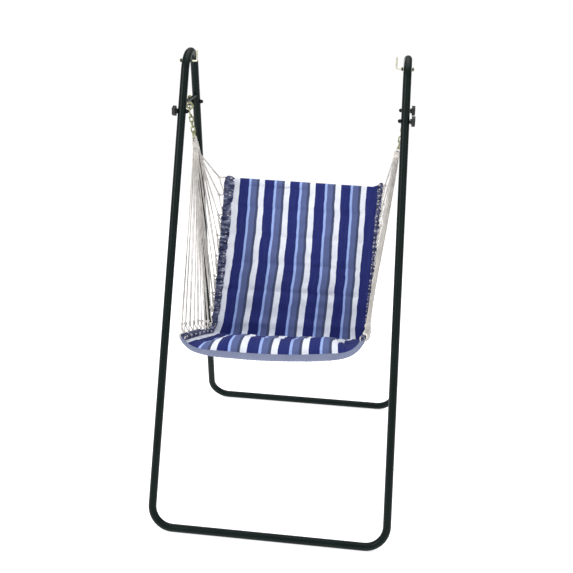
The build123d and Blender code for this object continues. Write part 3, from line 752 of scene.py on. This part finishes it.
LEAN = 8.92
EYE_WIRE, S_WIRE, S_BEND, S_LEN, GAP = 4.0, 3.0, 8.0, 26.0, 0.35
LINK_WIRE, LINK_W, LINK_STR, NL = 2.75, 7.25, 12.5, 3
RING_R, RING_WIRE, COLLAR_H, COLLAR_R, PITCH_C = 15.0, 3.5, 22.0, 14.0, 6.0
s_top = PIV[2] + EYE_WIRE + GAP + S_WIRE - S_BEND
s_bot = s_top - S_LEN
z = s_bot - S_BEND + S_WIRE + GAP + LINK_WIRE
for _k in range(NL):
    z_last = z - (LINK_STR + 2 * LINK_W)
    z = z_last + 2 * LINK_WIRE + GAP
ring_cz = z_last + LINK_WIRE + GAP + 0.3 + RING_WIRE - RING_R
hz = ring_cz - RING_R
collar_top = hz - 12.0

# ---------------------------------------------------------------- borders ---
cord_s = [0.03, 0.10, 0.18, 0.26, 0.34, 0.42, 0.49, 0.56, 0.625, 0.68, 0.735, 0.79, 0.84, 0.89, 0.94, 0.985]
KNOTS = {}


def border(side):
    sg = -1 if side == "left" else 1
    left = sg < 0
    n = 760
    s = np.linspace(0.0, 0.992, n)
    uc_ = 0.96 if left else 0.982
    uc = np.interp(s, [0, 0.1, 0.3, 0.5, 0.62, 1.0], [0.922, 0.925, 0.935, 0.941, 0.948, 0.950]) if left else np.full(n, 0.982)
    c = surf(sg * uc, s)
    nn = surf_n(sg * uc, s)
    outw = surf(np.full(n, sg * 1.0), s) - surf(np.full(n, sg * 0.90), s)
    outw -= nn * np.sum(outw * nn, 1, keepdims=True)
    outw /= np.linalg.norm(outw, axis=1, keepdims=True)
    arc = np.cumsum(np.r_[0, np.linalg.norm(np.diff(c, axis=0), axis=1)])
    c = c + nn * (8.0 if left else 13.0)
    c[:, 2] += corner_lift(np.full(n, sg * uc_), s)
    if left:
        wide = np.interp(s, [0, 0.03, 0.12, 0.45, 0.56, 0.64, 0.90, 1.0], [24, 23.5, 22.0, 18.5, 16.0, 14.5, 14.0, 15.0])
        thick = np.interp(s, [0, 0.1, 0.6, 1.0], [10.5, 9.5, 8.5, 10.5])
    else:
        wide = np.interp(s, [0, 0.03, 0.12, 0.40, 0.60, 0.90, 1.0], [14, 13, 12.0, 12.0, 21.0, 20.0, 16.0])
        thick = np.interp(s, [0, 0.1, 0.6, 1.0], [9.5, 8.5, 8.0, 9.5])
    th = np.linspace(0, 2 * math.pi, 36, endpoint=False)
    ph = arc / 17.0 * 2 * math.pi + 2.4 * value_noise(arc / 44.0, arc * 0 + 0.4, 21 + sg)
    big = value_noise(arc / 36.0, arc * 0 + 0.9, 31 + sg)
    # the free edge is drawn in where the cord legs hold it and bulges between them
    holds = []
    oc = sorted(cord_s)
    for i, v in enumerate(oc):
        ga = (v - oc[i - 1]) if i else 0.06
        gb = (oc[i + 1] - v) if i < 15 else 0.045
        holds += [max(v - ga * 0.42, 0.008), min(v + gb * 0.42, 0.985)]
    hold = np.zeros(n)
    for v in holds:
        hold = np.maximum(hold, np.exp(-((arc - np.interp(v, s, arc)) / 6.5) ** 2))
    fine = value_noise(arc / 7.5, arc * 0 + 0.3, 51 + sg)
    rows = []
    for i in range(n):
        k = min(1.0, 0.35 + min(arc[i], arc[-1] - arc[i]) / 14.0)
        outer = (0.5 + 0.5 * np.cos(th)) ** 2                       # 1 at the free edge
        # gathers: folds that run across the band, deeper towards the free edge
        fold = math.sin(ph[i]) + 0.45 * math.sin(1.73 * ph[i] + 1.1) + 0.5 * fine[i]
        lift = 1.0 + (0.16 + 0.10 * outer) * fold + 0.10 * big[i]
        reach = 1.0 + outer * (0.055 * math.sin(ph[i] * 0.5 + 0.7) + 0.035 * fine[i] - 0.17 * hold[i]) + 0.05 * big[i]
        sway = outer * 1.6 * math.sin(ph[i] * 0.5)
        cc = c[i] + nn[i] * (1.8 * math.sin(ph[i] * 0.31 + 1.0)) + outw[i] * (1.8 * big[i])
        rows.append(cc + (wide[i] * k * reach * np.cos(th))[:, None] * outw[i]
                    + (thick[i] * k * lift * np.sin(th) * (1 - 0.25 * hold[i] * outer) + sway)[:, None] * nn[i])
    VV = np.array(rows).reshape(-1, 3)
    Fc = grid_faces(n, len(th), closed_c=True)
    Fc.append(tuple(range(len(th))))
    Fc.append(tuple(reversed(range((n - 1) * len(th), n * len(th)))))
    uvc = np.stack([np.repeat(arc / 1000.0, len(th)), np.tile(th * 0.016, n)], 1)
    o = new_obj(side + "_gathered_border", VV / 1000.0, Fc, M_BORDER, uvc)
    fix_normals(o)
    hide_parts(side + "_side_border")
    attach(o, "chair")
    # each cord splits at a knot into two legs that pass round the border's free edge
    order = list(reversed(cord_s))
    parts = []
    for i, sc_ in enumerate(order):
        row, colm = divmod(i, 4)
        y = (row - 1.5) * PITCH_C
        x = (colm - 1.5) * PITCH_C * (1 if row % 2 == 0 else -1)
        start = lean_point((x, y, collar_top - COLLAR_H - 2.5), sg, LEAN)
        k = int(np.argmin(abs(s - min(sc_, 0.982))))
        edge = c[k] + outw[k] * (wide[k] * 0.95)
        d = (start - edge) / np.linalg.norm(start - edge)
        ki = order.index(sc_)
        gap_a = abs(order[ki - 1] - sc_) if ki > 0 else 0.045
        gap_b = abs(order[ki + 1] - sc_) if ki < 15 else 0.06
        knot = edge + d * (46.0 if sc_ < 0.58 else 38.0)
        KNOTS[(side, i)] = (start, knot)
        parts.append(knot_mesh(knot, d, 2.3, 4.2, i + (100 if left else 0)))
        legs = [(1, gap_a, 0.42), (-1, gap_b, 0.42)]
        if not left or 0.12 < sc_ < 0.5:
            legs += [(1, gap_a, 0.17), (-1, gap_b, 0.15)]
        for sgn, gap, part in legs:
            ds = min(sc_ + gap * part, 0.985) if sgn > 0 else max(sc_ - gap * part, 0.008)
            j = int(np.argmin(abs(s - ds)))
            w_, t_ = wide[j] * 1.06, thick[j] * 1.14
            if not left:
                w_ += 9.0 * min(1.0, max(0.0, (ds - 0.40) / 0.25)) * (1.0 if part > 0.3 else 0.5)
            # over the free edge, down the far side and back up through the cloth
            cc = c[j]
            pts = [knot, knot * 0.55 + (cc + outw[j] * (w_ + 3.0)) * 0.45]
            for tt in np.linspace(0.25 * math.pi, -1.30 * math.pi if left else -1.42 * math.pi, 12):
                pts.append(cc + outw[j] * (w_ * 0.28 + w_ * 0.78 * math.cos(tt)) - nn[j] * ((t_ + 1.6) * math.sin(tt)))
            pts = np.array(pts)
            dist = np.r_[0, np.cumsum(np.linalg.norm(np.diff(pts, axis=0), axis=1))]
            qd = np.linspace(0, dist[-1], 54)
            P = np.stack([np.interp(qd, dist, pts[:, a]) for a in range(3)], 1)
            for _ in range(4):
                P[1:-1] = (P[:-2] + P[1:-1] * 2 + P[2:]) / 4
            parts.append(rope_mesh(P, 2.9 if left else 3.1, turn=12.0, seg=5, per_turn=6))
    VV, FF = join_parts(parts)
    lo = new_obj(side + "_cord_loops", VV / 1000.0, FF, M_CORD)
    fix_normals(lo)
    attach(lo, "chair")
    return lo


for side, sg in (("left", -1), ("right", 1)):
    parts = []
    # cord loops over the ring, fanned round its lower part, running down into the collar
    for k, phi in enumerate(np.radians([-44, -22, 0, 22, 44])):
        rc = np.array([0, math.sin(phi) * RING_R, ring_cz - math.cos(phi) * RING_R])
        rad = np.array([0, -math.sin(phi), math.cos(phi)])     # towards the ring centre
        hr = RING_WIRE + 2.3
        pts = []
        yb = (k - 2) * 4.0
        pts.append(np.array([-6.0, yb, collar_top - 6]))
        pts.append(np.array([-6.6, yb * 1.1, collar_top + 3]))
        for t in np.linspace(math.pi, 0, 9):
            pts.append(rc + np.array([math.cos(t) * hr, 0, 0]) + rad * math.sin(t) * hr)
        pts.append(np.array([6.6, yb * 1.1, collar_top + 3]))
        pts.append(np.array([6.0, yb, collar_top - 6]))
        pts = np.array(pts)
        # a smooth line through the points
        dist = np.r_[0, np.cumsum(np.linalg.norm(np.diff(pts, axis=0), axis=1))]
        q = np.linspace(0, dist[-1], 60)
        P = np.stack([np.interp(q, dist, pts[:, a]) for a in range(3)], 1)
        for _ in range(3):
            P[1:-1] = (P[:-2] + P[1:-1] * 2 + P[2:]) / 4
        P = np.array([lean_point(p, sg, LEAN) for p in P])
        parts.append(tube(P, 2.0, 9))
    VV, FF = join_parts(parts)
    h = new_obj(side + "_ring_loops", VV / 1000.0, FF, M_CORD)
    fix_normals(h)
    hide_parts(side + "_ring_hitch")
    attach(h, "chair")
    # whipping: a tight winding of thin cord round the bundle
    turns = 9
    t = np.linspace(0, turns * 2 * math.pi, turns * 26)
    zz = collar_top - 1.6 - t / (turns * 2 * math.pi) * (COLLAR_H - 3.2)
    rad = COLLAR_R - 2.2 + 0.35 * value_noise(t / 2.0, t * 0, 41)
    P = np.stack([np.cos(t) * rad, np.sin(t) * rad, zz], 1)
    P = np.array([lean_point(p, sg, LEAN) for p in P])
    parts = [tube(P, 1.35, 8)]
    # the bundle inside the winding
    Pc = np.array([lean_point((0, 0, q), sg, LEAN) for q in np.linspace(collar_top + 1, collar_top - COLLAR_H - 1, 8)])
    parts.append(tube(Pc, [9.5, 11.0, 11.6, 11.8, 11.8, 11.6, 11.2, 10.5], 22))
    VV, FF = join_parts(parts)
    w = new_obj(side + "_whipping", VV / 1000.0, FF, M_CORD)
    fix_normals(w)
    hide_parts(side + "_cord_collar")
    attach(w, "chair")

loops = {s_: border(s_) for s_ in ("left", "right")}


# ------------------------------------------------------------------- cords ---
def cords(side):
    first = None
    for i in range(16):
        start, knot = KNOTS[(side, i)]
        d = (start - knot) / np.linalg.norm(start - knot)
        a = start + d * 4.0
        tgt = knot + d * 1.5
        L = np.linalg.norm(tgt - a)
        sag = (2.5 + 3.0 * rng.random()) * L / 600.0
        side_w = (rng.random() - 0.5) * 5.0 * L / 600.0
        midp = (a + tgt) / 2 + np.array([side_w * 0.5, side_w, -sag])
        cu = bpy.data.curves.new("route", "CURVE")
        cu.dimensions = "3D"
        sp = cu.splines.new("NURBS")
        sp.points.add(2)
        for p, qp in zip(sp.points, (a, midp, tgt)):
            p.co = (*(qp / 1000.0), 1.0)
        sp.order_u = 3
        sp.use_endpoint_u = True
        sp.resolution_u = 12
        ro = bpy.data.objects.new("route", cu)
        scn.collection.objects.link(ro)
        bpy.context.view_layer.update()
        me = bpy.data.meshes.new_from_object(ro)
        line = np.array([v.co[:] for v in me.vertices]) * 1000.0
        bpy.data.objects.remove(ro)
        bpy.data.curves.remove(cu)
        bpy.data.meshes.remove(me)
        # the cord runs double: two laid ropes side by side, drawn together at both ends
        T, A, B = frames_along(line)
        dd = np.r_[0, np.cumsum(np.linalg.norm(np.diff(line, axis=0), axis=1))]
        f_ = dd / dd[-1]
        open_ = np.sin(np.pi * f_) ** 0.5
        w0 = rng.uniform(0, 6.28)
        w_ = w0 + rng.uniform(-1.5, 1.5) * 2 * f_ + 0.35 * np.sin(5 * f_ + w0)
        off = (1.3 + (1.0 + 0.9 * rng.random()) * open_)[:, None] * (np.cos(w_)[:, None] * A + np.sin(w_)[:, None] * B)
        V, F = join_parts([rope_mesh(line + off, 2.3, turn=12.0, seg=4, per_turn=5),
                           rope_mesh(line - off, 2.3, turn=12.0, seg=4, per_turn=5)])
        o = new_obj(side + "_cord_%02d" % (i + 1), V / 1000.0, F, M_CORD)
        fix_normals(o)
        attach(o, "chair")
        if first is None:
            first = o
            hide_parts(side + "_suspension_cords")


cords("left")
cords("right")

# ----------------------------------------------------- floor, lights, world ---
bpy.ops.mesh.primitive_plane_add(size=400, location=(0, 0, -0.0005))
floor = bpy.context.object
floor.name = "floor"
fm = Mat("floor_pale")
fm.set(Base_Color=(0.88, 0.88, 0.88, 1), Roughness=0.9)
fm.b.inputs["Emission Color"].default_value = (1, 1, 1, 1)
fm.b.inputs["Emission Strength"].default_value = 0.66
floor.data.materials.append(fm.m)

world = bpy.data.worlds.new("studio")
scn.world = world
world.use_nodes = True
bg = world.node_tree.nodes["Background"]
bg.inputs[0].default_value = (1.0, 1.0, 1.0, 1)
bg.inputs[1].default_value = 0.40


def area(name, loc, target, size, power):
    ld = bpy.data.lights.new(name, "AREA")
    ld.shape = "RECTANGLE"
    ld.size, ld.size_y = size
    ld.energy = power
    o = bpy.data.objects.new(name, ld)
    scn.collection.objects.link(o)
    o.location = loc
    dv = Vector(target) - Vector(loc)
    o.rotation_euler = dv.to_track_quat("-Z", "Y").to_euler()
    return o


area("key", (-2.6, -3.2, 3.2), (0, 0, 0.9), (1.6, 2.2), 90)
area("fill", (2.6, -3.4, 2.6), (0, 0, 0.9), (2.0, 2.0), 26)
area("top", (0.3, 0.4, 4.2), (0, 0, 0.6), (3.0, 3.0), 70)
area("rim", (-1.6, 3.4, 2.4), (0, 0, 1.0), (1.6, 1.6), 30)
scn.view_settings.view_transform = "Standard"
